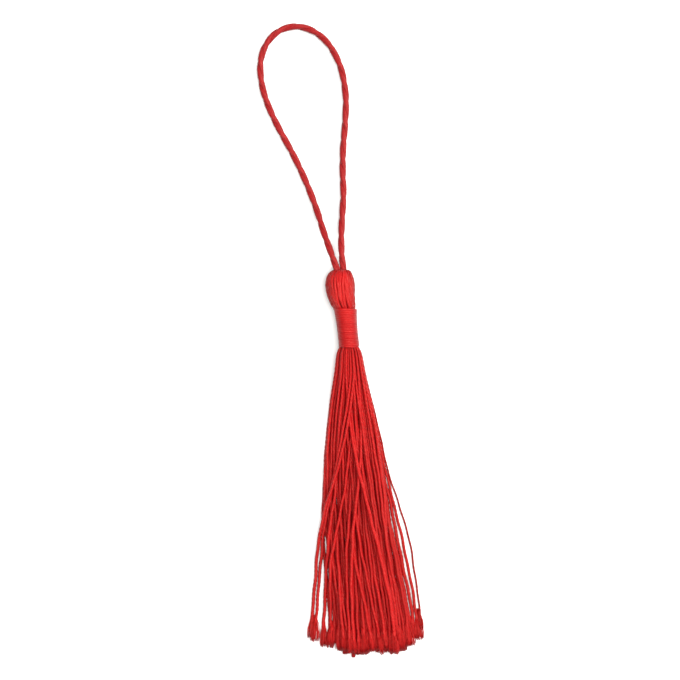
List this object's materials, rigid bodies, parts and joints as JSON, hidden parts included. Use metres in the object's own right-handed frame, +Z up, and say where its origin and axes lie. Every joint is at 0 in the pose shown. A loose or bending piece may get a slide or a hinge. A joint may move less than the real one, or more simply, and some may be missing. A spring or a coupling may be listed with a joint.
{
  "type": "tassel",
  "caption": "Slim silky tassel lying flat: folded floss head, wound neck binding, fanned skirt of twisted strands and a two-ply cord loop to hang it by.",
  "frame": {"origin": "bottom centre of the box round head, neck and skirt, on the surface that the tassel lies on", "axes": "+Y along the tassel towards its crown and loop, +Z up from the surface, +X to the right seen from above"},
  "size_m": [0.0345, 0.1319, 0.0056],
  "materials": {
    "floss": "silky twisted viscose floss, red",
    "binding_thread": "fine silky polyester thread, wound, red",
    "loop_cord": "two-ply twisted polyester cord, red"
  },
  "bodies": {
    "root": {"floss": "floss", "neck_binding": "binding_thread", "hanging_loop": "loop_cord"}
  },
  "joints": []
}
